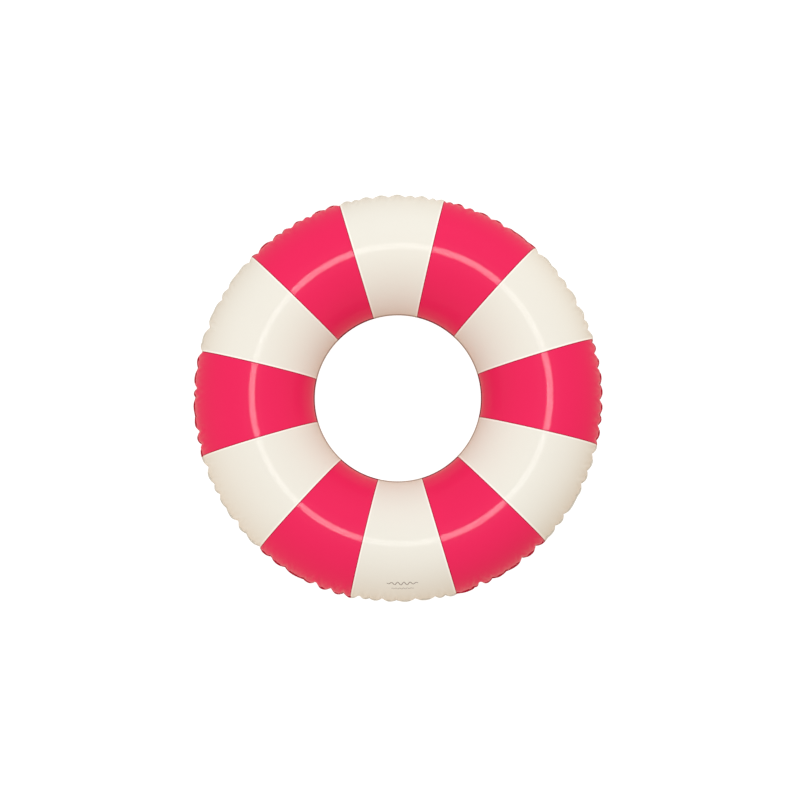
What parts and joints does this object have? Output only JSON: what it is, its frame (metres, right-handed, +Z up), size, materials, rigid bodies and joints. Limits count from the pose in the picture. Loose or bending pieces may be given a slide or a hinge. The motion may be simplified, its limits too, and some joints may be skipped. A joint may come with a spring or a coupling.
{
  "type": "inflatable pool float",
  "caption": "Round inflatable swim ring of alternating pink and cream film bands with welded seams and a push-in valve underneath.",
  "frame": {"origin": "centre of the ring at the floor, under the body opening", "axes": "+Z up along the ring's axis; the inflation valve is underneath on the -Y side; +Y is the top of the ring as it is usually pictured"},
  "size_m": [0.9, 0.9, 0.2609],
  "materials": {
    "pink_film": "soft glossy PVC film, pink-red",
    "cream_film": "soft glossy PVC film, cream",
    "valve_vinyl": "soft milky translucent vinyl"
  },
  "bodies": {
    "ring": {"upper_panel_01": "pink_film", "upper_panel_02": "cream_film", "upper_panel_03": "pink_film", "upper_panel_04": "cream_film", "upper_panel_05": "pink_film", "upper_panel_06": "cream_film", "upper_panel_07": "pink_film", "upper_panel_08": "cream_film", "upper_panel_09": "pink_film", "upper_panel_10": "cream_film", "upper_panel_11": "pink_film", "upper_panel_12": "cream_film", "lower_panel_01": "pink_film", "lower_panel_02": "cream_film", "lower_panel_03": "pink_film", "lower_panel_04": "cream_film", "lower_panel_05": "pink_film", "lower_panel_06": "cream_film", "lower_panel_07": "pink_film", "lower_panel_08": "cream_film", "lower_panel_09": "pink_film", "lower_panel_10": "cream_film", "lower_panel_11": "pink_film", "lower_panel_12": "cream_film", "valve_flange": "valve_vinyl", "valve_skirt": "valve_vinyl"},
    "stem": {"valve_stem": "valve_vinyl", "strap_collar": "valve_vinyl"},
    "stopper": {"stopper": "valve_vinyl", "stopper_strap": "valve_vinyl"},
    "flap": {"check_flap": "valve_vinyl"}
  },
  "joints": [
    {"name": "stem_slide", "type": "slide", "parent": "ring", "child": "stem", "axis": [0, -0.766, -0.6428], "range_m": [-0.011, 0], "deforming": ["valve_skirt"]},
    {"name": "stopper_hinge", "type": "hinge", "parent": "stem", "child": "stopper", "pos_m": [0, -0.43257, 0.04784], "axis": [-1, 0, 0], "range_deg": [0, 140]},
    {"name": "flap_hinge", "type": "hinge", "parent": "stem", "child": "flap", "pos_m": [0, -0.41346, 0.05735], "axis": [1, 0, 0], "range_deg": [0, 60], "stiffness_Nm_per_rad": 0.0002}
  ]
}
